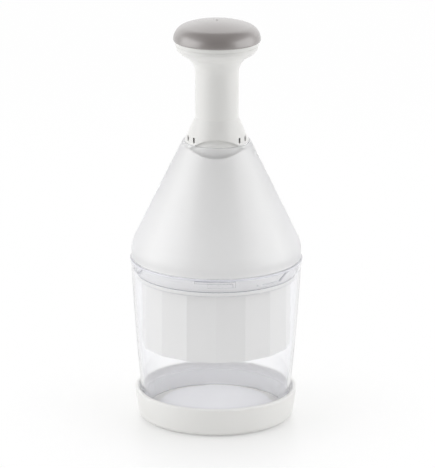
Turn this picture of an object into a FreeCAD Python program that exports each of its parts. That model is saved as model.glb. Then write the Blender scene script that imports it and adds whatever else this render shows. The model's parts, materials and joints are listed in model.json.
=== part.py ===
"""Plunger food chopper, as a parametric FreeCAD document with one object per separate piece.

Millimetres and degrees. The chopper stands on z = 0 with its axis on +Z; its front faces -Y.
From the table upwards: a base dish with a chopping pad, a clear beaker, and a housing that is a
clear cone over a white bell with a faceted guard cup. A plunger slides in the housing on a
sprung guide tube, and carries a shaft with a zigzag blade that turns a step on each stroke.
"""
import FreeCAD, Part
import math
import os
import re
import Sketcher
from FreeCAD import Placement, Rotation, Vector

UP = Vector(0, 0, 1)
FRONT = -90          # angle of the front, -Y, measured from +X
CUT_OVER = 1.0       # a cutting solid runs this far past the face that it opens
SLOT_STEPS = 8       # straight steps in the index sleeve's slanted slot

# Driving sizes. "radius", "in" and "out" are radii, "high", "long", "deep" and "thick" lengths.
SIZES = {
    # base dish, foot ring and chopping pad
    "foot_proud": 0.4, "foot_ring_inset": 2.7, "foot_ring_wide": 4.0, "foot_ring_high": 1.8,
    "foot_ring_round": 0.4, "dish_floor": 3.3, "dish_wall": 2.5, "dish_high": 17.7,
    "dish_flare": 2.0, "dish_corner": 3.2, "dish_rim_round": 0.9, "dish_gap": 0.5,
    "pad_inset": 9.9, "pad_thick": 3.2, "pad_seat_deep": 0.7, "pad_gap": 0.2, "pad_round": 0.6,
    # beaker
    "beaker_foot_radius": 42.9, "beaker_top_radius": 50.0, "beaker_high": 93.7,
    "beaker_wall": 1.6, "beaker_bow": 1400.0, "bead_proud": 0.7, "bead_high": 5.4,
    "bead_round": 0.9, "mouth_round": 0.5,
    # bayonet between beaker and cone
    "lug_count": 3, "lug_angle": 17.1, "lug_high": 2.2, "lug_drop": 5.2, "catch_angle": 28.0,
    "catch_deep": 1.1, "catch_high": 1.6, "stop_from": 11.6, "stop_angle": 1.6,
    "seat_gap": 0.2, "stop_clear": 0.5, "root_deep": 0.5,
    "rail_from": 30.0, "ramp_from": 49.4, "ramp_to": 61.0, "rail_high": 0.8, "rail_deep": 0.8,
    # clear cone
    "slide_gap": 0.3, "lip_inset": 0.7, "lip_high": 4.1, "lip_round": 0.5,
    "shoulder_round": 16.6, "shoulder_in": 1.6, "shoulder_high": 7.1, "cone_high": 70.3,
    "cone_top_radius": 20.0, "cone_bow": 9000.0, "cone_wall": 1.5, "cone_top_wall": 1.2,
    "cone_rim_round": 0.4, "skirt_long": 8.6, "skirt_wall": 1.5, "skirt_round": 0.4,
    # white bell and its web
    "bell_gap": 0.3, "bell_wall": 1.6, "bell_top_wall": 1.0, "bell_drop": 2.9,
    "bell_flange_high": 2.4, "bell_flange_round": 0.4, "web_thick": 2.5, "web_hole": 6.0,
    "boss_radius": 3.2, "boss_long": 6.0, "scoop_radius": 33.0, "scoop_deep": 3.3,
    # guard cup and wiper disc
    "cup_sides": 16, "cup_gap": 0.75, "cup_wall": 1.6, "cup_high": 41.0,
    "cup_lip_thick": 1.2, "cup_lip_wide": 2.6, "wiper_thick": 1.8, "wiper_gap": 0.4,
    # blade, carrier and shaft
    "stroke": 40.0, "pad_clear": 0.4, "blade_thick": 0.8, "blade_gap": 2.36,
    "fold_count": 7, "fold_spread": 0.863, "slot_gap": 0.5, "socket_deep": 2.2,
    "socket_gap": 0.1, "carrier_clear": 0.6, "carrier_gap": 2.96, "carrier_thick": 4.0,
    "hub_radius": 8.0, "hub_long": 12.1, "shaft_radius": 3.0, "shaft_gap": 0.08,
    "collar_radius": 4.4, "collar_high": 3.0, "shaft_over": 1.4, "head_sink": 2.2,
    "head_floor": 1.2,
    # stops, spring and the index sleeve
    "bumper_thick": 2.6, "bumper_out": 8.6, "rest_gap": 0.3, "washer_thick": 0.8,
    "washer_gap": 0.2, "spring_wire": 1.3, "spring_turns": 14, "sleeve_out": 5.2,
    "sleeve_foot": 9.0, "sleeve_over": 3.0, "index_angle": 30.0, "pin_radius": 1.0,
    "pin_gap": 0.25, "clip_thick": 0.8, "clip_out": 5.0, "clip_mouth": 70.0, "groove_deep": 0.7,
    # guide tube
    "tube_in": 8.0, "tube_wall": 1.9, "tube_floor": 2.5, "tube_flange": 15.6,
    "tube_over": 2.3, "web_clear": 2.0,
    # plunger neck
    "neck_radius": 12.7, "neck_gap": 0.3, "neck_web": 3.0, "skirt_deep": 12.0,
    "fairing_gap": 0.3, "fairing_wall": 1.5, "fairing_high": 14.3, "fairing_edge": 0.8,
    "fairing_deep": 5.2, "arch_radius": 21.0, "arch_rise": 4.3, "slit_at": 14.9,
    "slit_apart": 3.3, "slit_wide": 0.9, "slit_rise": 1.2, "slit_high": 2.8,
    "cavity_rise": 2.0, "flare_drop": 4.0,
    "flare_round": 12.0, "flare_out": 6.0, "flare_high": 10.4, "flange_radius": 23.9,
    "flange_rise": 4.5, "flange_round": 10.8, "flange_edge_high": 1.7, "flange_wall": 3.2,
    "flange_rebate": 1.4,
    # cap plate and grip cap
    "plate_thick": 2.7, "plate_flare": 0.6, "seam_deep": 0.25, "seam_high": 0.35,
    "spigot_gap": 0.2, "collar_rise": 2.6, "collar_wall": 2.2, "cap_over": 0.95,
    "cap_wall": 2.2, "cap_lip": 0.35, "cap_lip_high": 0.7, "cap_corner": 8.6,
    "cap_dome": 63.1, "cap_shoulder_in": 5.94, "cap_shoulder_high": 8.18, "cap_rise": 3.08,
    "dimple_radius": 0.9, "dimple_deep": 0.5,
    # screws
    "screw_count": 3, "screw_circle": 12.6, "screw_radius": 1.5, "screw_head": 2.4,
    "screw_head_high": 1.8, "screw_bite": 5.0, "thread_gap": 0.05, "plate_screw_circle": 13.6,
    "plate_boss": 2.6, "plate_boss_high": 5.8, "plate_screw_radius": 1.2,
    "plate_screw_bite": 3.0, "end_screw_radius": 1.5, "end_screw_head": 3.0,
    "end_screw_bite": 8.0,
}

# Heights and radii that follow from the driving sizes: levels from the table upwards, then fits.
FITS = {
    "floor_top": "foot_proud + dish_floor",
    "dish_in": "beaker_foot_radius + dish_gap",
    "dish_rim_in": "dish_in + dish_flare",
    "foot_ring_out": "dish_in + dish_wall - dish_corner - foot_ring_inset",
    "foot_ring_in": "foot_ring_out - foot_ring_wide",
    "pad_radius": "dish_in - pad_inset",
    "pad_low": "floor_top - pad_seat_deep",
    "pad_top": "pad_low + pad_thick",
    "beaker_top": "floor_top + beaker_high",
    "bead_low": "beaker_top - bead_high",
    "bead_radius": "beaker_top_radius + bead_proud",
    "lip_radius": "bead_radius - lip_inset",
    "beaker_in": "beaker_top_radius - beaker_wall",
    "lug_out": "beaker_in - slide_gap",
    "skirt_out": "beaker_in - catch_deep - slide_gap",
    "skirt_in": "skirt_out - skirt_wall",
    "skirt_low": "beaker_top - skirt_long",
    "lug_low": "beaker_top - lug_drop",
    "lug_top": "lug_low + lug_high",
    "rail_top": "lug_low - seat_gap",
    "rail_low": "rail_top - rail_high",
    "catch_low": "lug_top + seat_gap",
    "catch_top": "catch_low + catch_high",
    "catch_from": "stop_from + stop_angle - catch_angle",
    "lug_from": "stop_from - stop_clear - lug_angle",
    "catch_in": "beaker_in - catch_deep",
    "catch_root": "beaker_in + root_deep",
    "lip_top": "beaker_top + lip_high",
    "cone_foot": "lip_top + shoulder_high",
    "cone_foot_radius": "lip_radius - shoulder_in",
    "cone_top": "beaker_top + cone_high",
    "rim_in": "cone_top_radius - cone_top_wall",
    "cone_in": "cone_foot_radius - cone_wall",
    "cone_slope": "(cone_in - rim_in) / (cone_top - cone_foot)",
    "bell_out": "skirt_in - bell_gap",
    "bell_in": "bell_out - bell_wall",
    "bell_top": "cone_top - bell_drop",
    "bell_top_out": "rim_in + cone_slope * bell_drop - bell_gap",
    "bell_top_in": "bell_top_out - bell_top_wall",
    "bell_knee": "cone_top - (bell_out + bell_gap - rim_in) / cone_slope",
    "bell_low": "skirt_low - bell_flange_high",
    "cup_low": "bell_low - cup_high",
    "beaker_taper": "(beaker_top_radius - beaker_foot_radius) / (bead_low - floor_top)",
    "cup_radius": "beaker_foot_radius + beaker_taper * (cup_low - floor_top) - beaker_wall - cup_gap",
    "cup_in": "cup_radius - cup_wall / cos(180deg / cup_sides)",
    "cup_flat_in": "cup_in * cos(180deg / cup_sides)",
    "cup_mouth": "cup_flat_in - cup_lip_wide",
    "wiper_low": "cup_low + cup_lip_thick",
    "wiper_top": "wiper_low + wiper_thick",
    "blade_radius": "cup_mouth - blade_gap",
    "fold_pitch": "2 * blade_radius * fold_spread / (fold_count - 1)",
    "blade_low": "pad_top + pad_clear + stroke",
    "carrier_radius": "cup_flat_in - carrier_gap",
    "carrier_low": "wiper_top + stroke + carrier_clear",
    "blade_top": "carrier_low + socket_deep",
    "hub_top": "carrier_low + hub_long",
    "shaft_low": "carrier_low + head_sink + head_floor",
    "bumper_low": "hub_top + rest_gap",
    "web_low": "bumper_low + bumper_thick",
    "web_top": "web_low + web_thick",
    "tube_seat": "web_top + tube_floor",
    "tube_top": "cone_top + tube_over",
    "tube_out": "tube_in + tube_wall",
    "shaft_bore": "shaft_radius + shaft_gap",
    "spring_low": "tube_seat + washer_thick",
    "neck_web_low": "tube_top + stroke + web_clear",
    "neck_web_top": "neck_web_low + neck_web",
    "spring_high": "neck_web_low - washer_thick",
    "spring_radius": "(sleeve_out + tube_in) / 2",
    "pin_rest": "tube_seat + sleeve_foot + stroke",
    "sleeve_top": "pin_rest + sleeve_over",
    "clip_low": "neck_web_top + seat_gap",
    "shaft_top": "clip_low + clip_thick + shaft_over",
    "neck_bore": "tube_out + neck_gap",
    "fairing_radius": "rim_in - fairing_gap",
    "fairing_in": "fairing_radius - fairing_wall",
    "fairing_shoulder": "cone_top + fairing_edge",
    "fairing_top": "cone_top + fairing_high",
    "fairing_low": "cone_top - fairing_deep",
    "fairing_lean": "(fairing_radius - neck_radius) / (fairing_top - fairing_shoulder)",
    "skirt_top": "cone_top + (fairing_in - neck_radius) / fairing_lean",
    "plunger_low": "cone_top - skirt_deep",
    "flare_low": "neck_web_low - flare_drop",
    "flare_top": "flare_low + flare_high",
    "flange_edge": "flare_top + flange_rise",
    "flange_top": "flange_edge + flange_edge_high",
    "flange_in": "flange_radius - flange_wall",
    "plate_top": "flange_top + plate_thick",
    "plate_radius": "flange_radius + plate_flare",
    "cap_radius": "plate_radius + cap_over",
    "cap_shoulder": "cap_radius - cap_shoulder_in",
    "cap_in": "cap_radius - cap_wall",
    "cap_bend": "plate_top + cap_lip_high",
    "cap_shoulder_top": "cap_bend + cap_shoulder_high",
    "cap_top": "cap_shoulder_top + cap_rise",
}

doc = FreeCAD.newDocument("food_chopper")


def make_sheet(name, cells):
    """A spreadsheet with one named cell per line."""
    sheet = doc.addObject("Spreadsheet::Sheet", name)
    for row, (alias, content) in enumerate(cells, start=1):
        sheet.set(f"A{row}", alias)
        sheet.set(f"B{row}", content)
        sheet.setAlias(f"B{row}", alias)
    doc.recompute()
    return sheet


def linked(text):
    """An expression with each size's name written as the cell that holds it."""
    def cell(match):
        word = match.group()
        return f"dims.{word}" if word in SIZES else f"fits.{word}" if word in FITS else word
    return re.sub(r"[a-z_]+", cell, str(text))


def fit_formula(text):
    """A fits cell names the cells of its own sheet without the sheet's name."""
    return "=" + linked(text).replace("fits.", "")


dims = make_sheet("dims", [(alias, str(number)) for alias, number in SIZES.items()])
fits = make_sheet("fits", [(alias, fit_formula(text)) for alias, text in FITS.items()])


def size(text):
    """The present value of an expression over the named sizes."""
    value = dims.evalExpression(linked(text))
    return float(getattr(value, "Value", value))


def bind(item, **expressions):
    """Tie properties to the sheets; Base_x stands for Placement.Base.x."""
    for name, text in expressions.items():
        path = name.replace("Base_", "Placement.Base.")
        item.setExpression(path, linked(text))


def add(kind, name, **expressions):
    """A document object with its label and its bound properties."""
    item = doc.addObject(kind, name)
    item.Label = name
    bind(item, **expressions)
    return item


def polar(radius, angle):
    """Expressions for the x and y of a point on a circle."""
    return f"({radius}) * cos({angle} deg)", f"({radius}) * sin({angle} deg)"


# ---- building blocks -------------------------------------------------------------------------

def corner_arc(start, end, radius, side):
    """The arc of a radius between two corners; side 1 bulges to the right of the way there."""
    chord = end - start
    half = chord.Length / 2
    rise = radius - math.sqrt(radius * radius - half * half)
    across = Vector(chord.y, -chord.x, 0).normalize()
    middle = (start + end) / 2 + across * (rise * side)
    return Part.Arc(start, middle, end) if side > 0 else Part.Arc(end, middle, start)


def turned(label, corners):
    """A body of revolution about the axis.

    Each corner is (radius, height), or (radius, height, arc radius, side) where an arc leads to
    it from the corner before. Every corner and arc is a constraint tied to the sheets.
    """
    body = doc.addObject("PartDesign::Body", label)
    body.Label = label
    planes = {feature.Role: feature for feature in body.Origin.OriginFeatures}
    sketch = body.newObject("Sketcher::SketchObject", f"{label}_outline")
    sketch.AttachmentSupport = [(planes["XZ_Plane"], "")]
    sketch.MapMode = "FlatFace"
    points = [Vector(size(corner[0]), size(corner[1]), 0) for corner in corners]
    tails = []           # each edge's vertex numbers at its start and its end
    for index, corner in enumerate(corners):
        start, end = points[index - 1], points[index]
        if len(corner) == 2:
            sketch.addGeometry(Part.LineSegment(start, end))
            tails.append((1, 2))
            continue
        sketch.addGeometry(corner_arc(start, end, size(corner[2]), corner[3]))
        tails.append((1, 2) if corner[3] > 0 else (2, 1))
    constraints, bound = [], []
    for index, corner in enumerate(corners):
        after = (index + 1) % len(corners)
        head = tails[index][1]
        constraints.append(Sketcher.Constraint("Coincident", index, head, after, tails[after][0]))
        for kind, text, value in (("DistanceX", corner[0], points[index].x),
                                  ("DistanceY", corner[1], points[index].y)):
            if text == "0":
                axis = -2 if kind == "DistanceX" else -1
                constraints.append(Sketcher.Constraint("PointOnObject", index, head, axis))
                continue
            bound.append((len(constraints), text))
            constraints.append(Sketcher.Constraint(kind, -1, 1, index, head, value))
        if len(corner) > 2:
            bound.append((len(constraints), corner[2]))
            constraints.append(Sketcher.Constraint("Radius", index, size(corner[2])))
    sketch.addConstraint(constraints)
    for place, text in bound:
        sketch.setExpression(f"Constraints[{place}]", linked(text))
    turn = body.newObject("PartDesign::Revolution", f"{label}_turned")
    turn.Profile = sketch
    turn.ReferenceAxis = (sketch, ["V_Axis"])
    turn.Angle = 360
    body.Tip = turn
    return body


def ring(label, inner, outer, low, high):
    return turned(label, [(inner, low), (outer, low), (outer, high), (inner, high)])


def rod(name, radius, low, high, x="0", y="0"):
    """An upright cylinder between two heights."""
    return add("Part::Cylinder", name, Radius=radius, Height=f"({high}) - ({low})",
               Base_x=x, Base_y=y, Base_z=low)


def rod_across(name, radius, height, half_long, axis):
    """A level cylinder through the axis at a height, along X or Y."""
    item = add("Part::Cylinder", name, Radius=radius, Height=f"2 * ({half_long})")
    if axis == "x":
        item.Placement = Placement(Vector(), Rotation(Vector(0, 1, 0), 90))
        bind(item, Base_x=f"-({half_long})", Base_z=height)
    else:
        item.Placement = Placement(Vector(), Rotation(Vector(1, 0, 0), 90))
        bind(item, Base_y=half_long, Base_z=height)
    return item


def cut(label, base, *tools):
    tool = tools[0]
    if len(tools) > 1:
        tool = add("Part::MultiFuse", f"{label}_tools")
        tool.Shapes = list(tools)
    result = add("Part::Cut", label)
    result.Base = base
    result.Tool = tool
    return result


def fuse(label, *solids):
    result = add("Part::MultiFuse", label)
    result.Shapes = list(solids)
    result.Refine = True
    return result


def ring_sector(name, inner, outer, low, high, start, span):
    """Part of a ring: from the angle start, measured from the front, over the angle span."""
    wedge = add("Part::Cylinder", f"{name}_wedge", Radius=outer, Height=f"({high}) - ({low})",
                Angle=span)
    wedge.Placement = Placement(Vector(), Rotation(UP, FRONT + size(start)))
    bind(wedge, Base_z=low)
    core = rod(f"{name}_core", inner, f"({low}) - {CUT_OVER}", f"({high}) + {CUT_OVER}")
    return cut(name, wedge, core)


def solid_feature(label, shape):
    item = doc.addObject("Part::Feature", label)
    item.Label = label
    item.Shape = shape
    item.Placement = Placement()
    return item


def turns(count):
    """The angles of copies spaced evenly from the front."""
    return [360.0 / count * index for index in range(count)]


# ---- base ------------------------------------------------------------------------------------

def make_base_dish():
    """White dish with a groove for the foot ring below and a shallow seat for the pad above."""
    wall_low = "dish_in + dish_wall"
    rim_out = "dish_rim_in + dish_wall"
    return turned("base_dish", [
        ("0", "foot_proud"),
        ("foot_ring_in", "foot_proud"),
        ("foot_ring_in", "foot_ring_high"),
        ("foot_ring_out", "foot_ring_high"),
        ("foot_ring_out", "foot_proud"),
        (f"{wall_low} - dish_corner", "foot_proud"),
        (wall_low, "foot_proud + dish_corner", "dish_corner", 1),
        (rim_out, "dish_high - dish_rim_round"),
        (f"{rim_out} - dish_rim_round", "dish_high", "dish_rim_round", 1),
        ("dish_rim_in + dish_rim_round", "dish_high"),
        ("dish_rim_in", "dish_high - dish_rim_round", "dish_rim_round", 1),
        ("dish_in", "floor_top"),
        ("pad_radius + pad_gap", "floor_top"),
        ("pad_radius + pad_gap", "pad_low"),
        ("0", "pad_low"),
    ])


def make_foot_ring():
    """Soft ring in the groove under the dish; the chopper rests on its lower face."""
    return turned("foot_ring", [
        ("foot_ring_in + foot_ring_round", "0", "foot_ring_round", 1),
        ("foot_ring_out - foot_ring_round", "0"),
        ("foot_ring_out", "foot_ring_round", "foot_ring_round", 1),
        ("foot_ring_out", "foot_ring_high"),
        ("foot_ring_in", "foot_ring_high"),
        ("foot_ring_in", "foot_ring_round"),
    ])


def make_chopping_pad():
    """Disc in the dish floor that the blade comes down on."""
    return turned("chopping_pad", [
        ("0", "pad_low"),
        ("pad_radius", "pad_low"),
        ("pad_radius", "pad_top - pad_round"),
        ("pad_radius - pad_round", "pad_top", "pad_round", 1),
        ("0", "pad_top"),
    ])


# ---- beaker ----------------------------------------------------------------------------------

def make_beaker():
    """Clear tapered tube with a bead at its mouth and bayonet catches inside it."""
    tube = turned("beaker_tube", [
        ("beaker_foot_radius - beaker_wall", "floor_top", "beaker_bow", -1),
        ("beaker_foot_radius", "floor_top"),
        ("beaker_top_radius", "bead_low", "beaker_bow", 1),
        ("bead_radius", "beaker_top - bead_round"),
        ("bead_radius - bead_round", "beaker_top", "bead_round", 1),
        ("beaker_in + mouth_round", "beaker_top"),
        ("beaker_in", "beaker_top - mouth_round", "mouth_round", 1),
        ("beaker_in", "bead_low"),
    ])
    catches = []
    for index, angle in enumerate(turns(SIZES["lug_count"])):
        catches.append(ring_sector(f"catch_{index}", "catch_in", "catch_root", "catch_low",
                                   "catch_top", f"catch_from + {angle}", "catch_angle"))
        catches.append(ring_sector(f"stop_{index}", "catch_in", "catch_root", "lug_low",
                                   "catch_top", f"stop_from + {angle}", "stop_angle"))
    return fuse("beaker", tube, *catches)


# ---- housing ---------------------------------------------------------------------------------

def make_outer_cone():
    """Clear cone: an open rim above, a lip on the beaker and a skirt with bayonet lugs in it."""
    shell = turned("cone_shell", [
        ("skirt_in", "skirt_low"),
        ("skirt_out - skirt_round", "skirt_low"),
        ("skirt_out", "skirt_low + skirt_round", "skirt_round", 1),
        ("skirt_out", "beaker_top"),
        ("lip_radius - lip_round", "beaker_top"),
        ("lip_radius", "beaker_top + lip_round", "lip_round", 1),
        ("lip_radius", "lip_top"),
        ("cone_foot_radius", "cone_foot", "shoulder_round", 1),
        ("cone_top_radius", "cone_top - cone_rim_round", "cone_bow", 1),
        ("cone_top_radius - cone_rim_round", "cone_top", "cone_rim_round", 1),
        ("rim_in", "cone_top"),
        ("cone_in", "cone_foot", "cone_bow", -1),
        ("lip_radius - cone_wall", "lip_top", "shoulder_round - cone_wall", -1),
        ("skirt_in", "beaker_top + skirt_wall"),
    ])
    details = []
    for index, angle in enumerate(turns(SIZES["lug_count"])):
        details.append(ring_sector(f"lug_{index}", "skirt_out - root_deep", "lug_out", "lug_low",
                                   "lug_top", f"lug_from + {angle}", "lug_angle"))
        details.append(ring_sector(f"rail_{index}", "skirt_out - root_deep",
                                   "skirt_out + rail_deep", "rail_low", "rail_top",
                                   f"rail_from + {angle}", "ramp_from - rail_from"))
        details.append(make_ramp(f"ramp_{index}", angle))
    return fuse("outer_cone", shell, *details)


def make_ramp(name, angle):
    """Slanted rib on the skirt, from the rail up to the lip."""
    chord = "2 * skirt_out * sin((ramp_to - ramp_from) / 2 * 1deg)"
    rise = "(beaker_top - rail_low)"
    rib = add("Part::Box", name, Length=f"sqrt(({chord}) ^ 2 + {rise} ^ 2)",
              Width="rail_deep + root_deep", Height="rail_high")
    middle = FRONT + angle + size("(ramp_from + ramp_to) / 2")
    slope = math.degrees(math.atan2(size(rise), size(chord)))
    turn = Rotation(UP, middle + 90) * Rotation(Vector(0, 1, 0), -slope)
    across = Rotation(UP, middle)
    foot = across.multVec(Vector(size("skirt_out + rail_deep"), -size(chord) / 2, size("rail_low")))
    rib.Placement = Placement(foot, turn)
    return rib


def make_inner_bell():
    """White bell under the clear cone; its web carries the guide tube on screw bosses."""
    shell = turned("bell_shell", [
        ("bell_in", "bell_low"),
        ("skirt_out - bell_flange_round", "bell_low"),
        ("skirt_out", "bell_low + bell_flange_round", "bell_flange_round", 1),
        ("skirt_out", "skirt_low - bell_flange_round"),
        ("skirt_out - bell_flange_round", "skirt_low", "bell_flange_round", 1),
        ("bell_out", "skirt_low"),
        ("bell_out", "bell_knee"),
        ("bell_top_out", "bell_top"),
        ("bell_top_in", "bell_top"),
        ("bell_in", "bell_knee"),
        ("bell_in", "web_top"),
        ("web_hole", "web_top"),
        ("web_hole", "web_low"),
        ("bell_in", "web_low"),
    ])
    bosses, holes = [], []
    for index, angle in enumerate(turns(SIZES["screw_count"])):
        x, y = polar("screw_circle", FRONT + angle)
        bosses.append(rod(f"boss_{index}", "boss_radius", "web_low - boss_long", "web_top", x, y))
        holes.append(rod(f"boss_hole_{index}", "screw_radius + thread_gap",
                         "web_low - screw_bite - seat_gap", f"web_top + {CUT_OVER}", x, y))
    scoop = rod_across("bell_scoop", "scoop_radius", "bell_top - scoop_deep + scoop_radius",
                       "lip_radius", "y")
    return cut("inner_bell", fuse("bell_body", shell, *bosses), scoop, *holes)


def prism(name, radius, low, high):
    """An upright regular prism with a corner at the front."""
    return add("Part::Prism", name, Polygon="cup_sides", Circumradius=radius,
               Height=f"({high}) - ({low})", Base_z=low)


def make_blade_guard_cup():
    """White faceted cup around the raised blade, with a lip inside its foot."""
    outside = prism("cup_outside", "cup_radius", "cup_low", "bell_low")
    inside = prism("cup_inside", "cup_in", "wiper_low", f"bell_low + {CUT_OVER}")
    mouth = rod("cup_opening", "cup_mouth", f"cup_low - {CUT_OVER}", "wiper_top")
    return cut("blade_guard_cup", outside, inside, mouth)


def make_guide_tube():
    """Tube that the plunger slides on, with the spring inside and a screwed flange below."""
    tube = turned("tube_turned", [
        ("shaft_bore", "web_top"),
        ("tube_flange", "web_top"),
        ("tube_flange", "tube_seat"),
        ("tube_out", "tube_seat"),
        ("tube_out", "tube_top"),
        ("tube_in", "tube_top"),
        ("tube_in", "tube_seat"),
        ("shaft_bore", "tube_seat"),
    ])
    holes = []
    for index, angle in enumerate(turns(SIZES["screw_count"])):
        x, y = polar("screw_circle", FRONT + angle)
        holes.append(rod(f"flange_hole_{index}", "screw_radius + thread_gap",
                         f"web_top - {CUT_OVER}", f"tube_seat + {CUT_OVER}", x, y))
    return cut("guide_tube", tube, *holes)


def screw_set(label, circle, shank, low, seat):
    """Screws on a circle, heads up on the height seat, joined as one node."""
    screws = []
    for index, angle in enumerate(turns(SIZES["screw_count"])):
        x, y = polar(circle, FRONT + angle)
        screws.append(fuse(
            f"{label}_{index}",
            rod(f"{label}_shank_{index}", shank, low, f"({seat}) + screw_head_high / 2", x, y),
            rod(f"{label}_head_{index}", "screw_head", seat, f"({seat}) + screw_head_high", x, y)))
    group = add("Part::Compound", label)
    group.Links = screws
    return group


def make_index_sleeve():
    """Post with a slanted slot through it that turns the shaft's pin as the plunger comes down."""
    post = Part.makeCylinder(size("sleeve_out"), size("sleeve_top - tube_seat"),
                             Vector(0, 0, size("tube_seat")))
    bore = Part.makeCylinder(size("shaft_bore"), size("sleeve_top - tube_seat") + 2 * CUT_OVER,
                             Vector(0, 0, size("tube_seat") - CUT_OVER))
    half_wide = size("pin_radius + pin_gap")
    half_long = size("sleeve_out") + CUT_OVER
    high = size("pin_rest") + half_wide
    low = size("pin_rest - stroke") - half_wide
    sections = []
    for step in range(SLOT_STEPS + 1):
        height = low + (high - low) * step / SLOT_STEPS
        angle = size("index_angle") * (size("pin_rest") - height) / size("stroke")
        corners = [Vector(x, y, 0) for x, y in ((-half_long, -half_wide), (half_long, -half_wide),
                                                (half_long, half_wide), (-half_long, half_wide))]
        section = Part.makePolygon(corners + corners[:1])
        section.Placement = Placement(Vector(0, 0, height), Rotation(UP, angle))
        sections.append(section)
    slot = Part.makeLoft(sections, True, True)
    return solid_feature("index_sleeve", post.cut(bore).cut(slot))


def make_return_spring():
    """Helical spring between the two washers, drawn at its length with the plunger up."""
    low = size("spring_low + spring_wire / 2")
    high = size("spring_high - spring_wire / 2")
    radius = size("spring_radius")
    helix = Part.makeHelix((high - low) / size("spring_turns"), high - low, radius)
    section = Part.Wire(Part.makeCircle(size("spring_wire / 2"), Vector(radius, 0, 0),
                                        Vector(0, 1, 0)))
    wire = Part.Wire(helix.Edges).makePipeShell([section], True, True)
    spring = solid_feature("return_spring", wire)
    spring.Placement = Placement(Vector(0, 0, low), Rotation())
    return spring


# ---- blade unit ------------------------------------------------------------------------------

def zigzag(half_thick, low, high):
    """A strip folded to and fro between points on a circle, with round folds."""
    half_count = (SIZES["fold_count"] - 1) / 2
    folds = []
    for index in range(SIZES["fold_count"]):
        x = (index - half_count) * size("fold_pitch")
        reach = math.sqrt(size("blade_radius") ** 2 - x * x)
        folds.append(Vector(x, reach if index % 2 else -reach, low))
    solids = [Part.makeCylinder(half_thick, high - low, fold) for fold in folds]
    for start, end in zip(folds, folds[1:]):
        along = end - start
        leg = Part.makeBox(along.Length, 2 * half_thick, high - low, Vector(0, -half_thick, 0))
        angle = math.degrees(math.atan2(along.y, along.x))
        leg.Placement = Placement(start, Rotation(UP, angle))
        solids.append(leg)
    return solids[0].multiFuse(solids[1:]).removeSplitter()


def make_zigzag_blade():
    """Folded steel strip, sharp below, its upper edge in the carrier's groove."""
    return solid_feature("zigzag_blade", zigzag(size("blade_thick / 2"), size("blade_low"),
                                                size("blade_top")))


def make_blade_carrier():
    """White disc and hub on the shaft's foot, grooved below for the blade."""
    disc = turned("carrier_turned", [
        ("end_screw_radius + thread_gap", "carrier_low + head_sink"),
        ("end_screw_head + seat_gap", "carrier_low + head_sink"),
        ("end_screw_head + seat_gap", "carrier_low"),
        ("carrier_radius", "carrier_low"),
        ("carrier_radius", "carrier_low + carrier_thick"),
        ("hub_radius", "carrier_low + carrier_thick"),
        ("hub_radius", "hub_top"),
        ("shaft_radius + thread_gap", "hub_top"),
        ("shaft_radius + thread_gap", "shaft_low"),
        ("end_screw_radius + thread_gap", "shaft_low"),
    ])
    groove = solid_feature("carrier_groove", zigzag(
        size("blade_thick / 2 + socket_gap"), size("carrier_low") - CUT_OVER, size("blade_top")))
    return cut("blade_carrier", disc, groove)


def make_drive_shaft():
    """Steel shaft: a collar under the neck's web, a clip groove above it and a cross hole."""
    hole = "end_screw_radius + thread_gap"
    hole_top = "shaft_low + end_screw_bite + seat_gap"
    groove = "shaft_radius - groove_deep"
    turned_shaft = turned("shaft_turned", [
        (hole, "shaft_low"),
        ("shaft_radius", "shaft_low"),
        ("shaft_radius", "neck_web_low - seat_gap - collar_high"),
        ("collar_radius", "neck_web_low - seat_gap - collar_high"),
        ("collar_radius", "neck_web_low - seat_gap"),
        ("shaft_radius", "neck_web_low - seat_gap"),
        ("shaft_radius", "clip_low"),
        (groove, "clip_low"),
        (groove, "clip_low + clip_thick"),
        ("shaft_radius", "clip_low + clip_thick"),
        ("shaft_radius", "shaft_top"),
        ("0", "shaft_top"),
        ("0", hole_top),
        (hole, hole_top),
    ])
    return cut("drive_shaft", turned_shaft,
               rod_across("shaft_cross_hole", "pin_radius", "pin_rest", "collar_radius", "x"))


def make_shaft_clip():
    """Open retaining ring in the shaft's groove, above the neck's web."""
    return ring_sector("shaft_clip", "shaft_radius - groove_deep + thread_gap", "clip_out",
                       "clip_low + thread_gap", "clip_low + clip_thick - thread_gap",
                       "clip_mouth / 2", "360 - clip_mouth")


def make_carrier_screw():
    """Screw up through the carrier into the shaft's foot, with its head sunk."""
    head_top = "carrier_low + head_sink"
    return turned("carrier_screw", [
        ("0", f"{head_top} - screw_head_high"),
        ("end_screw_head", f"{head_top} - screw_head_high"),
        ("end_screw_head", head_top),
        ("end_screw_radius", head_top),
        ("end_screw_radius", "shaft_low + end_screw_bite"),
        ("0", "shaft_low + end_screw_bite"),
    ])


def make_wiper_disc():
    """Disc on the cup's lip with a slot that strips food off the blade."""
    disc = rod("wiper_blank", "cup_flat_in - wiper_gap", "wiper_low", "wiper_top")
    slot = solid_feature("wiper_slot", zigzag(
        size("blade_thick / 2 + slot_gap"), size("wiper_low") - CUT_OVER,
        size("wiper_top") + CUT_OVER))
    return cut("wiper_disc", disc, slot)


# ---- plunger ---------------------------------------------------------------------------------

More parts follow.
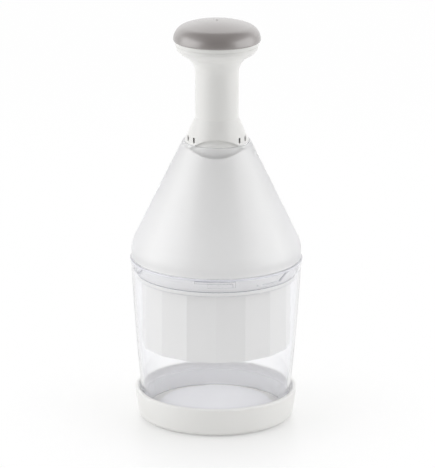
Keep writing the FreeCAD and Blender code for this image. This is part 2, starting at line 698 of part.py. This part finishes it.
def make_handle_neck():
    """White plunger: a flare for the cap, a skirt inside the cone's rim and an arched fairing."""
    inside = "fairing_in - fairing_wall"
    core = turned("neck_turned", [
        (inside, "plunger_low"),
        ("fairing_in", "plunger_low"),
        ("fairing_in", "cone_top"),
        ("neck_radius", "skirt_top"),
        ("neck_radius", "flare_low"),
        ("neck_radius + flare_out", "flare_top", "flare_round", -1),
        ("flange_radius", "flange_edge", "flange_round", 1),
        ("flange_radius", "flange_top"),
        ("flange_in", "flange_top"),
        ("flange_in", "flange_top - flange_rebate"),
        ("neck_bore", "neck_web_top + cavity_rise"),
        ("neck_bore", "neck_web_top"),
        ("shaft_bore", "neck_web_top"),
        ("shaft_bore", "neck_web_low"),
        ("neck_bore", "neck_web_low"),
        ("neck_bore", "skirt_top - fairing_wall"),
        (inside, "cone_top - fairing_wall"),
    ])
    fairing = turned("fairing_turned", [
        ("fairing_in - fairing_wall / 2", "fairing_low"),
        ("fairing_radius", "fairing_low"),
        ("fairing_radius", "fairing_shoulder"),
        ("neck_radius", "fairing_top"),
        ("neck_radius - fairing_wall / 2", "fairing_top"),
        ("neck_radius - fairing_wall / 2", "skirt_top"),
        ("fairing_in - fairing_wall / 2", "cone_top - fairing_wall / 2"),
    ])
    arch = rod_across("fairing_arch", "arch_radius", "cone_top + arch_rise - arch_radius",
                      "lip_radius", "y")
    boss_top = "flange_top - flange_rebate"
    bosses, holes = [], []
    for index, angle in enumerate(turns(SIZES["screw_count"])):
        x, y = polar("plate_screw_circle", FRONT + angle)
        bosses.append(rod(f"neck_boss_{index}", "plate_boss", f"{boss_top} - plate_boss_high",
                          boss_top, x, y))
        holes.append(rod(f"neck_hole_{index}", "plate_screw_radius + thread_gap",
                         f"{boss_top} - plate_screw_bite - seat_gap",
                         f"{boss_top} + {CUT_OVER}", x, y))
    slits = []
    for index, place in enumerate(("slit_at - slit_apart / 2", "slit_at + slit_apart / 2",
                                   "-slit_at - slit_apart / 2", "-slit_at + slit_apart / 2")):
        slits.append(add("Part::Box", f"slit_{index}", Length="slit_wide",
                         Width="2 * fairing_radius", Height="slit_high",
                         Base_x=f"{place} - slit_wide / 2", Base_y="-fairing_radius",
                         Base_z="cone_top + slit_rise"))
    body = fuse("neck_body", core, cut("fairing", fairing, arch), *bosses)
    return cut("handle_neck", body, *holes, *slits)


def make_cap_plate():
    """White plate screwed on the neck; a collar above it holds the grip cap."""
    spigot, collar = "flange_in - spigot_gap", "cap_in - spigot_gap"
    spigot_low = "flange_top - flange_rebate + seat_gap"
    seam = "flange_radius - seam_deep"
    plate = turned("plate_turned", [
        ("0", spigot_low),
        (spigot, spigot_low),
        (spigot, "flange_top"),
        (seam, "flange_top"),
        (seam, "flange_top + seam_high"),
        ("flange_radius + seam_deep", "flange_top + seam_high"),
        ("plate_radius", "plate_top"),
        (collar, "plate_top"),
        (collar, "plate_top + collar_rise"),
        (f"{collar} - collar_wall", "plate_top + collar_rise"),
        (f"{collar} - collar_wall", "plate_top"),
        ("0", "plate_top"),
    ])
    holes = []
    for index, angle in enumerate(turns(SIZES["screw_count"])):
        x, y = polar("plate_screw_circle", FRONT + angle)
        holes.append(rod(f"plate_hole_{index}", "plate_screw_radius + thread_gap",
                         f"{spigot_low} - {CUT_OVER}", f"plate_top + {CUT_OVER}", x, y))
    return cut("cap_plate", plate, *holes)


def make_grip_cap():
    """Soft domed cap with a small dimple at its top."""
    return turned("grip_cap", [
        ("cap_in", "plate_top"),
        ("cap_radius - cap_lip", "plate_top"),
        ("cap_radius", "cap_bend"),
        ("cap_shoulder", "cap_shoulder_top", "cap_corner", 1),
        ("dimple_radius", "cap_top", "cap_dome", 1),
        ("0", "cap_top - dimple_deep"),
        ("0", "cap_top - cap_wall"),
        ("cap_shoulder", "cap_shoulder_top - cap_wall"),
        ("cap_in", "plate_top + collar_rise + seat_gap"),
    ])


def make_pieces():
    return [
        make_base_dish(),
        make_foot_ring(),
        make_chopping_pad(),
        make_beaker(),
        make_outer_cone(),
        make_inner_bell(),
        make_blade_guard_cup(),
        make_guide_tube(),
        screw_set("guide_screws", "screw_circle", "screw_radius", "web_low - screw_bite",
                  "tube_seat"),
        make_index_sleeve(),
        ring("bumper_ring", "shaft_radius + 2 * slide_gap", "bumper_out", "bumper_low", "web_low"),
        ring("spring_lower_washer", "sleeve_out + washer_gap", "tube_in - washer_gap",
             "tube_seat", "spring_low"),
        make_return_spring(),
        ring("spring_upper_washer", "collar_radius + slide_gap", "neck_bore - washer_gap",
             "spring_high", "neck_web_low"),
        make_handle_neck(),
        make_cap_plate(),
        screw_set("plate_screws", "plate_screw_circle", "plate_screw_radius",
                  "flange_top - flange_rebate - plate_screw_bite", "plate_top"),
        make_grip_cap(),
        make_drive_shaft(),
        make_shaft_clip(),
        rod_across("follower_pin", "pin_radius", "pin_rest", "sleeve_out", "x"),
        make_blade_carrier(),
        make_zigzag_blade(),
        make_carrier_screw(),
        make_wiper_disc(),
    ]


pieces = make_pieces()
doc.recompute()
failed = [item.Name for item in doc.Objects if {"Invalid", "Error"} & set(item.State)]
if failed:
    raise RuntimeError(f"objects that did not compute: {failed}")
for piece in pieces:
    if piece.Shape.isNull() or not piece.Shape.isValid() or not piece.Shape.Solids:
        raise RuntimeError(f"{piece.Label} has no valid solid")

os.makedirs("parts", exist_ok=True)
for piece in pieces:
    piece.Shape.exportStep(f"parts/{piece.Label}.step")
    box = piece.Shape.BoundBox
    print(f"{piece.Label:22} solids {len(piece.Shape.Solids)}  volume {piece.Shape.Volume:10.1f}"
          f"  z {box.ZMin:7.2f} to {box.ZMax:7.2f}  radius {max(box.XMax, box.YMax):6.2f}")
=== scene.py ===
"""The look of the plunger food chopper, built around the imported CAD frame.

Metres, Z up, the front faces -Y. A length that is described in millimetres is multiplied by MM.
"""
from collections import namedtuple
import json
import math

import bmesh
import bpy
from mathutils import Matrix, Vector


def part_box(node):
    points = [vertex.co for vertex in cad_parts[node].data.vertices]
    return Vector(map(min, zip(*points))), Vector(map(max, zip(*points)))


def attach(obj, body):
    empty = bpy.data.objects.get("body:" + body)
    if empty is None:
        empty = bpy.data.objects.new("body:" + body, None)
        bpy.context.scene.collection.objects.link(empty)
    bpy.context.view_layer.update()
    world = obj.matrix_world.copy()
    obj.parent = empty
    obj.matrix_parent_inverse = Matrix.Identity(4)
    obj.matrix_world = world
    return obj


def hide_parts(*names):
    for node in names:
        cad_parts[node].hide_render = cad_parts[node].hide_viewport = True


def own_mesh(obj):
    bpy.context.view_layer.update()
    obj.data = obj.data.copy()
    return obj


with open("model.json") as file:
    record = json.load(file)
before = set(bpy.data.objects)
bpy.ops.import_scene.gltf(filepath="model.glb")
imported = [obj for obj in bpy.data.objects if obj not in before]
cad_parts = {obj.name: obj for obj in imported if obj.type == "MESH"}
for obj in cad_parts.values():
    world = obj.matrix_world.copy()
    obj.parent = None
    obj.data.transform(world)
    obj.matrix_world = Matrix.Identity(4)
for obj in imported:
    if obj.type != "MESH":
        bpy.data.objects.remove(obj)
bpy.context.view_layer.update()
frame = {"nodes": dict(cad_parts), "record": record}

MM = 0.001
NODES = frame["nodes"]

# Photograph's viewpoint: the camera stands in front and looks down a little through a long lens.
CAMERA_BACK = 2.040
CAMERA_HEIGHT = 0.705
CAMERA_ASIDE = 0.00065
CAMERA_PITCH = 16.245
CAMERA_ROLL = 0.19
CAMERA_LENS = 278.2
CAMERA_SENSOR = 36.0

# Colours, linear. The milks and the grazed tones tint the two clear pieces. The shades are
# painted shade: dark lines painted along seams, ledges and edges of the clear pieces and at
# the foot of the bell's flange.
WHITE = (0.870, 0.866, 0.850)
# Painted shadow line at the foot of the bell's flange, where the flange overhangs the cup.
FLANGE_SHADOW_GREY = (0.62, 0.62, 0.64)
PAD_WHITE = (0.925, 0.925, 0.945)
SOFT_GREY = (0.50, 0.50, 0.49)
CAP_GREY = (0.240, 0.214, 0.205)
STEEL = (0.60, 0.60, 0.61)
SPRING_STEEL = (0.50, 0.50, 0.52)
BLADE_STEEL = (0.82, 0.82, 0.84)
CLEAR = (0.988, 0.989, 0.997)
BEAKER_GRAZED = (0.900, 0.900, 0.918)
CONE_GRAZED = (0.835, 0.835, 0.850)
LOW_MILK = (0.915, 0.915, 0.917)
HIGH_MILK = (0.955, 0.955, 0.955)
FOOT_MILK = (0.97, 0.97, 0.99)
# Painted shade for the joint: a dark line at the foot of the cone's lip, and a darker ring at the
# beaker's bead under it, which is milky too.
SEAM_SHADE = (0.80, 0.80, 0.86)
BEAD_SHADE = (0.84, 0.84, 0.90)
# Painted shade: dark lines along the catches, the skirt's foot and the ribs and ramps.
LINE_SHADE = (0.32, 0.32, 0.38)
EDGE_SHADE = (0.72, 0.71, 0.82)
FLOOR_DARK = (0.86, 0.86, 0.85)
FLOOR_LIGHT = (0.88, 0.88, 0.87)

# Levels of the world and the floor, where 1 is white.
AMBIENT_FRONT = 0.2604      # the world's light on matt surfaces, from in front
AMBIENT_BACK = 0.6572       # the same from the sides and from behind
DIM_STUDIO = 0.32           # what gloss mirrors in front and overhead
BRIGHT_WALLS = 1.0          # what it mirrors at the sides
WINDOW_LOW = 1.0            # what it mirrors behind the chopper, near the floor
WINDOW_HIGH = 1.3           # what it mirrors there higher up
FLOOR_NEAR = 0.38           # plain white laid over the lit floor, beside the chopper
FLOOR_FAR = 0.98            # the same away from it, where no shadow falls
FLOOR_MIRRORED = 0.45       # the share of that white that gloss mirrors far in front

# ---- node helpers ----------------------------------------------------------------------------

SOFT_EDGE = 0.08 * MM       # how wide a shade's edge fades

# A painted shade: a darker tint in a ring of heights and radii, standing in for the dark line
# that shadow and refraction give an edge there, and how clear a clear piece is there.
Shade = namedtuple("Shade", "colour low high inner outer clearness", defaults=(1.0,))

# A milky, satin stretch of a clear piece: it starts at one height and is full at another.
Milk = namedtuple("Milk", "colour start full roughness clearness")


class Nodes:
    """A material's or world's node tree, with short calls to add and join nodes."""

    def __init__(self, tree):
        self.tree = tree
        tree.nodes.clear()

    def add(self, kind, inputs=None, **settings):
        node = self.tree.nodes.new(kind)
        for name, value in settings.items():
            setattr(node, name, value)
        for name, value in (inputs or {}).items():
            if isinstance(value, bpy.types.NodeSocket):
                self.tree.links.new(value, node.inputs[name])
            else:
                node.inputs[name].default_value = value
        return node

    def show(self, shader):
        """Puts a shader on the surface."""
        self.add("ShaderNodeOutputMaterial", {"Surface": shader.outputs[0]})

    def math(self, operation, first, second=0.0):
        return self.add("ShaderNodeMath", {0: first, 1: second}, operation=operation).outputs[0]

    def remap(self, value, low, high, to_low=0.0, to_high=1.0, shape="LINEAR"):
        return self.add("ShaderNodeMapRange", {"Value": value, "From Min": low, "From Max": high,
                                               "To Min": to_low, "To Max": to_high},
                        interpolation_type=shape).outputs[0]

    def place(self):
        """Where a point of the surface lies, in the object's own frame, in metres."""
        return self.add("ShaderNodeTexCoord").outputs["Object"]

    def split(self, vector):
        return self.add("ShaderNodeSeparateXYZ", {0: vector}).outputs

    def height_and_radius(self, where):
        """Height above the table and distance from the chopper's axis, in metres."""
        x, y, z = self.split(where)
        squares = self.math("ADD", self.math("MULTIPLY", x, x), self.math("MULTIPLY", y, y))
        return z, self.math("SQRT", squares)

    def band(self, value, low, high):
        """1 between two values and 0 outside them, over a soft edge."""
        rise = self.remap(value, low - SOFT_EDGE, low)
        fall = self.remap(value, high, high + SOFT_EDGE, 1.0, 0.0)
        return self.math("MULTIPLY", rise, fall)

    def ring(self, height, radius, shade):
        """1 where a shade lies and 0 elsewhere."""
        return self.math("MULTIPLY", self.band(height, shade.low, shade.high),
                         self.band(radius, shade.inner, shade.outer))

    def noise(self, where, scale, detail=2.0):
        return self.add("ShaderNodeTexNoise", {"Vector": where, "Scale": scale,
                                               "Detail": detail}).outputs["Fac"]

    def wander(self, where, scale, middle, swing):
        """A number that noise moves up and down about its middle."""
        return self.remap(self.noise(where, scale, 3.0), 0.3, 0.7, middle - swing,
                          middle + swing)

    def mix(self, factor, first, second):
        """A number between two, by a factor."""
        return self.add("ShaderNodeMix", {0: factor, 2: first, 3: second},
                        data_type="FLOAT").outputs[0]

    def blend(self, factor, first, second, kind="MIX"):
        """A colour between two, by a factor, or the first times the second to that extent."""
        return self.add("ShaderNodeMix", {0: factor, 6: first, 7: second}, data_type="RGBA",
                        blend_type=kind).outputs[2]

    def mottle(self, pattern, colour, dark, light):
        """A colour whose level follows a pattern, from dark times itself to light times."""
        return self.blend(pattern, rgba(colour, dark), rgba(colour, light))

    def bump(self, height, depth):
        return self.add("ShaderNodeBump", {"Height": height, "Distance": depth}).outputs["Normal"]


def rgba(colour, times=1.0):
    return tuple(channel * times for channel in colour) + (1.0,)


def new_material(name):
    material = bpy.data.materials.new(name)
    material.use_nodes = True
    return material, Nodes(material.node_tree)


# ---- materials -------------------------------------------------------------------------------


def moulded(name, colour, roughness, grain=900.0, grain_depth=0.02 * MM, shades=()):
    """Moulded plastic: a hardly uneven colour, a fine moulded grain and a gloss that varies."""
    material, nodes = new_material(name)
    where = nodes.place()
    tone = nodes.mottle(nodes.noise(where, 35.0, 3.0), colour, 0.98, 1.02)
    height, radius = nodes.height_and_radius(where)
    # Each shade paints a line of shade, a darker ring of heights and radii, into the tone.
    for shade in shades:
        tone = nodes.blend(nodes.ring(height, radius, shade), tone, rgba(shade.colour))
    nodes.show(nodes.add("ShaderNodeBsdfPrincipled", {
        "Base Color": tone, "Roughness": nodes.wander(where, 120.0, roughness, 0.03),
        "Normal": nodes.bump(nodes.noise(where, grain, 4.0), grain_depth)}))
    return material


def satin_lacquer(name, colour):
    """The cap's skin: satin lacquer over a fine grain."""
    material, nodes = new_material(name)
    where = nodes.place()
    nodes.show(nodes.add("ShaderNodeBsdfPrincipled", {
        "Base Color": nodes.mottle(nodes.noise(where, 60.0, 3.0), colour, 0.97, 1.03),
        "Roughness": 0.38, "Specular IOR Level": 1.0,
        "Coat Weight": 1.0, "Coat Roughness": 0.26, "Coat IOR": 1.75,
        "Normal": nodes.bump(nodes.noise(where, 2600.0, 3.0), 0.015 * MM)}))
    return material


def clear_plastic(name, grazed, milks, shades):
    """Clear moulded plastic that lets the lamps' light through to what is inside.

    It is polished, and satin and milky where its milks say so. A wall that is looked at along
    its length is darker, by the grazed colour. The shades are painted shade: darker, less clear
    lines along edges, ledges and seams, standing in for the dark lines that shadow and
    refraction make there.
    """
    material, nodes = new_material(name)
    where = nodes.place()
    height, radius = nodes.height_and_radius(where)
    roughness = nodes.wander(where, 300.0, 0.03, 0.01)
    clearness = 1.0
    tone = rgba(CLEAR)
    for milk in milks:
        share = nodes.remap(height, milk.start, milk.full, shape="SMOOTHSTEP")
        roughness = nodes.mix(share, roughness, milk.roughness)
        clearness = nodes.mix(share, clearness, milk.clearness)
        tone = nodes.blend(share, tone, rgba(milk.colour))
    facing = nodes.add("ShaderNodeLayerWeight", {"Blend": 0.5}).outputs["Facing"]
    tone = nodes.blend(nodes.remap(facing, 0.35, 0.85), tone, rgba(grazed), "MULTIPLY")
    # Each shade paints a line of shade into the tone and makes the plastic less clear there.
    for shade in shades:
        mask = nodes.ring(height, radius, shade)
        tone = nodes.blend(mask, tone, rgba(shade.colour))
        clearness = nodes.mix(mask, clearness, shade.clearness)
    glass = nodes.add("ShaderNodeBsdfPrincipled", {
        "Base Color": tone, "Roughness": roughness, "IOR": 1.49,
        "Transmission Weight": clearness,
        "Normal": nodes.bump(nodes.noise(where, 45.0), 0.03 * MM)})
    passing = nodes.add("ShaderNodeBsdfTransparent", {"Color": rgba(CLEAR)})
    path = nodes.add("ShaderNodeLightPath").outputs
    light = nodes.math("MAXIMUM", path["Is Shadow Ray"], path["Is Diffuse Ray"])
    nodes.show(nodes.add("ShaderNodeMixShader", {0: light, 1: glass.outputs[0],
                                                 2: passing.outputs[0]}))
    return material


def show_steel(nodes, lines, colour, dark, light, roughness, depth):
    """Metal whose fine lines show in its tone and catch the light."""
    nodes.show(nodes.add("ShaderNodeBsdfPrincipled", {
        "Base Color": nodes.mottle(lines, colour, dark, light), "Metallic": 1.0,
        "Roughness": roughness, "Normal": nodes.bump(lines, depth)}))


def turned_steel(name, colour, roughness):
    """Metal with fine marks that run round the chopper's axis."""
    material, nodes = new_material(name)
    height, radius = nodes.height_and_radius(nodes.place())
    along = nodes.add("ShaderNodeCombineXYZ", {0: radius, 1: height}).outputs[0]
    lines = nodes.noise(along, 9000.0)
    show_steel(nodes, lines, colour, 0.92, 1.05, roughness, 0.004 * MM)
    return material


def sheet_steel(name, colour, roughness):
    """Rolled and polished sheet, with faint marks along the blade's length."""
    material, nodes = new_material(name)
    stretched = nodes.add("ShaderNodeMapping", {"Vector": nodes.place(),
                                                "Scale": (60.0, 60.0, 9000.0)}).outputs[0]
    lines = nodes.noise(stretched, 1.0, 3.0)
    show_steel(nodes, lines, colour, 0.94, 1.04, roughness, 0.003 * MM)
    return material


JOINT = 97.4 * MM           # height of the beaker's mouth, where the cone's lip stands on it
BEAKER_MILKS = (
    Milk(FOOT_MILK, 18.6 * MM, 12.0 * MM, roughness=0.12, clearness=0.72),
)
CONE_MILKS = (
    Milk(LOW_MILK, JOINT + 0.1 * MM, JOINT + 0.8 * MM, roughness=0.30, clearness=0.35),
    Milk(HIGH_MILK, 102 * MM, 160 * MM, roughness=0.30, clearness=0.80),
)
# Painted shade on the beaker: a darker ring at the bead under the cone's lip, over a milkier
# ledge, and dark lines painted along the catches' edges and their top.
BEAKER_SHADES = (
    Shade(BEAD_SHADE, JOINT - 0.9 * MM, JOINT + 1.0 * MM, 49.6 * MM, 52 * MM, clearness=0.4),
    Shade(EDGE_SHADE, 92 * MM, 96.3 * MM, 47.4 * MM, 48.2 * MM, clearness=0.8),
    Shade(LINE_SHADE, 95.7 * MM, 96.3 * MM, 47.0 * MM, 48.3 * MM, clearness=0.3),
)
# Painted shade on the cone: a dark line at the foot of its lip, and dark lines painted along the
# skirt's foot and along the edges of its ribs and ramps.
CONE_SHADES = (
    Shade(SEAM_SHADE, JOINT - 1.0 * MM, JOINT + 0.4 * MM, 48.6 * MM, 52 * MM),
    Shade(LINE_SHADE, 88 * MM, 89.0 * MM, 45.4 * MM, 47.1 * MM, clearness=0.7),
    Shade(LINE_SHADE, 89.2 * MM, JOINT - 0.1 * MM, 47.08 * MM, 47.72 * MM, clearness=0.3),
)
# A painted shadow line along the foot of the bell's flange, where it stands out over the cup.
FLANGE_SHADOW_LINE = Shade(FLANGE_SHADOW_GREY, 86.2 * MM, 86.8 * MM, 44 * MM, 48 * MM)

MATERIALS = {
    "white_plastic": moulded("white_plastic_look", WHITE, 0.34),
    "frosted_plastic": moulded("frosted_plastic_look", PAD_WHITE, 0.5, grain=1800.0,
                               grain_depth=0.03 * MM),
    "soft_grey": moulded("soft_grey_look", SOFT_GREY, 0.7, grain=2400.0),
    "cap_grey": satin_lacquer("cap_grey_look", CAP_GREY),
    "clear_plastic": clear_plastic("clear_plastic_look", BEAKER_GRAZED, BEAKER_MILKS,
                                   BEAKER_SHADES),
    "satin_clear": clear_plastic("satin_clear_look", CONE_GRAZED, CONE_MILKS, CONE_SHADES),
    "white_with_shadow_line": moulded("white_with_shadow_line_look", WHITE, 0.34, shades=(FLANGE_SHADOW_LINE,)),
    "steel": turned_steel("steel_look", STEEL, 0.28),
    "spring_steel": turned_steel("spring_steel_look", SPRING_STEEL, 0.32),
    "blade_steel": sheet_steel("blade_steel_look", BLADE_STEEL, 0.3),
}


def dress(piece, slot):
    piece.data.materials.clear()
    piece.data.materials.append(MATERIALS[slot])


def dress_cad_nodes():
    """Each node gets its slot's material; two take a variant of their own: the outer cone with
    milks and painted shade lines, the inner bell with a painted shadow line at its flange's foot.
    """
    for part in frame["record"]["subparts"]:
        dress(NODES[part["node"]], part["material_slot"])
    dress(NODES["outer_cone"], "satin_clear")
    dress(NODES["inner_bell"], "white_with_shadow_line")


# ---- pieces ----------------------------------------------------------------------------------


def new_object(name, data):
    thing = bpy.data.objects.new(name, data)
    bpy.context.scene.collection.objects.link(thing)
    return thing


def new_piece(name, mesh, body, slot, *nodes):
    """A piece that rides on a body, has a slot's finish and stands for its CAD nodes."""
    piece = new_object(name, mesh)
    dress(piece, slot)
    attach(piece, body)
    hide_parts(*nodes)
    return piece


def make_spring():
    """Return spring: a coil whose pitch closes up over the last turn at each end."""
    low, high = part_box("return_spring")
    up = Vector((0, 0, 1))
    wire = 0.65 * MM            # radius of the wire
    radius = high.x - wire
    turns = 14
    closed_turns = 1.0          # at each end
    closed_share = 0.012        # of the coil's length, for the closed turns of one end
    round_steps, wire_steps = 40, 12
    start, length = low.z + wire, high.z - low.z - 2 * wire

    def climb(turn):
        """Height in shares of the length: slow over the closed turns, steady between them."""
        if turn < closed_turns:
            return closed_share * turn / closed_turns
        if turn > turns - closed_turns:
            return 1 - closed_share * (turns - turn) / closed_turns
        steady = (turn - closed_turns) / (turns - 2 * closed_turns)
        return closed_share + (1 - 2 * closed_share) * steady

    mesh = bmesh.new()
    rings = []
    for step in range(turns * round_steps + 1):
        turn = step / round_steps
        angle = 2 * math.pi * turn
        out = Vector((math.cos(angle), math.sin(angle), 0))
        centre = out * radius + up * (start + length * climb(turn))
        ring = []
        for index in range(wire_steps):
            side = 2 * math.pi * index / wire_steps
            offset = out * math.cos(side) + up * math.sin(side)
            ring.append(mesh.verts.new(centre + offset * wire))
        rings.append(ring)
    for ring, following in zip(rings, rings[1:]):
        for index in range(wire_steps):
            after = (index + 1) % wire_steps
            mesh.faces.new((ring[index], following[index], following[after], ring[after]))
    mesh.faces.new(rings[0])
    mesh.faces.new(list(reversed(rings[-1])))
    bmesh.ops.recalc_face_normals(mesh, faces=mesh.faces)
    data = bpy.data.meshes.new("return_spring_look")
    mesh.to_mesh(data)
    mesh.free()
    data.shade_smooth()
    spring = new_piece("return_spring_look", data, "housing", "spring_steel", "return_spring")
    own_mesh(spring)


# ---- camera, lamps, world, floor -------------------------------------------------------------


def make_camera():
    data = bpy.data.cameras.new("camera")
    data.lens = CAMERA_LENS
    data.sensor_width = CAMERA_SENSOR
    data.clip_end = 20
    camera = new_object("camera", data)
    camera.location = (CAMERA_ASIDE, -CAMERA_BACK, CAMERA_HEIGHT)
    turn = Matrix.Rotation(math.radians(90 - CAMERA_PITCH), 3, "X")
    roll = Matrix.Rotation(math.radians(CAMERA_ROLL), 3, "Z")
    camera.rotation_euler = (turn @ roll).to_euler()
    bpy.context.scene.camera = camera


def softbox(name, place, aim, width, height, power, mirrored=False, spread=180):
    """A soft lamp that gloss mirrors if it says so, and with a grid where its spread is narrow.

    No camera or transmission ray sees it, so it leaves no white spot behind the clear pieces.
    """
    data = bpy.data.lights.new(name, "AREA")
    data.spread = math.radians(spread)
    data.shape = "RECTANGLE"
    data.size = width
    data.size_y = height
    data.energy = power
    lamp = new_object(name, data)
    lamp.location = place
    lamp.visible_glossy = mirrored
    lamp.visible_transmission = False
    lamp.visible_camera = False
    lamp.rotation_euler = (Vector(aim) - Vector(place)).to_track_quat("-Z", "Y").to_euler()


def make_lamps():
    middle = (0, 0, 0.12)
    softbox("left_softbox", (-0.52, -0.14, 0.29), middle, width=0.60, height=0.5, power=1.39,
            mirrored=True)
    softbox("right_softbox", (0.53, -0.10, 0.29), middle, width=0.60, height=0.5, power=1.19,
            mirrored=True)
    softbox("back_softbox", (0, 0.62, 0.34), (0, 0, 0.04), width=0.9, height=0.3, power=1.05)
    softbox("top_softbox", (0, 0.10, 0.90), middle, width=0.6, height=0.6, power=1.25)
    softbox("low_softbox", (0, -0.62, 0.24), (0, -0.10, 0), width=0.7, height=0.12, power=0.072,
            spread=40)


def make_world():
    """White behind the chopper and through its clear pieces, and a studio for gloss to mirror.

    The studio has bright side walls and a bright window at the back, and is dim elsewhere.
    Matt surfaces get a plain light that is weaker from in front. Each axis of a direction runs
    from -1 to 1.
    """
    world = bpy.data.worlds.new("studio")
    bpy.context.scene.world = world
    world.use_nodes = True
    nodes = Nodes(world.node_tree)
    path = nodes.add("ShaderNodeLightPath").outputs
    aside, back, up = nodes.split(nodes.add("ShaderNodeTexCoord").outputs["Generated"])
    walls = nodes.remap(nodes.math("ABSOLUTE", aside), 0.35, 0.85, DIM_STUDIO, BRIGHT_WALLS)
    window = nodes.remap(up, 0.05, 0.25, WINDOW_LOW, WINDOW_HIGH)
    studio = nodes.math("MAXIMUM", walls, nodes.remap(back, 0.46, 0.60, DIM_STUDIO, window))
    ambient = nodes.remap(back, -0.9, 0.1, AMBIENT_FRONT, AMBIENT_BACK)
    level = nodes.mix(path["Is Glossy Ray"], ambient, studio)
    through = nodes.math("MAXIMUM", path["Is Camera Ray"], path["Is Transmission Ray"])
    background = nodes.add("ShaderNodeBackground", {"Color": rgba((1, 1, 1)),
                                                    "Strength": nodes.mix(through, level, 1.0)})
    nodes.add("ShaderNodeOutputWorld", {"Surface": background.outputs[0]})


def make_floor():
    """A pale floor that keeps the chopper's shadow and goes over into white round it.

    Gloss mirrors a floor that is greyer in front of the chopper.
    """
    half = 3.0
    data = bpy.data.meshes.new("floor")
    data.from_pydata([(-half, -half, 0), (half, -half, 0), (half, half, 0), (-half, half, 0)],
                     [], [(0, 1, 2, 3)])
    floor = new_object("floor", data)
    material, nodes = new_material("floor_look")
    where = nodes.place()
    speckle = nodes.blend(nodes.noise(where, 400.0), rgba(FLOOR_DARK), rgba(FLOOR_LIGHT))
    lit = nodes.add("ShaderNodeBsdfPrincipled", {"Base Color": speckle, "Roughness": 0.25})
    white = nodes.add("ShaderNodeEmission", {"Color": rgba((1, 1, 1)), "Strength": 1.0})
    path = nodes.add("ShaderNodeLightPath").outputs
    back = nodes.split(where)[1]
    mirrored = nodes.math("MULTIPLY", path["Is Glossy Ray"],
                          nodes.remap(back, -0.6, -0.1, FLOOR_MIRRORED, 1.0))
    seen = nodes.math("MAXIMUM", path["Is Camera Ray"],
                      nodes.math("MAXIMUM", mirrored, path["Is Transmission Ray"]))
    distance = nodes.height_and_radius(where)[1]
    share = nodes.math("MULTIPLY", seen,
                       nodes.remap(distance, 0.05, 0.13, FLOOR_NEAR, FLOOR_FAR))
    nodes.show(nodes.add("ShaderNodeMixShader", {0: share, 1: lit.outputs[0],
                                                 2: white.outputs[0]}))
    data.materials.append(material)


make_camera()
make_lamps()
make_world()
make_floor()
dress_cad_nodes()
make_spring()
bpy.context.scene.view_settings.view_transform = "Standard"
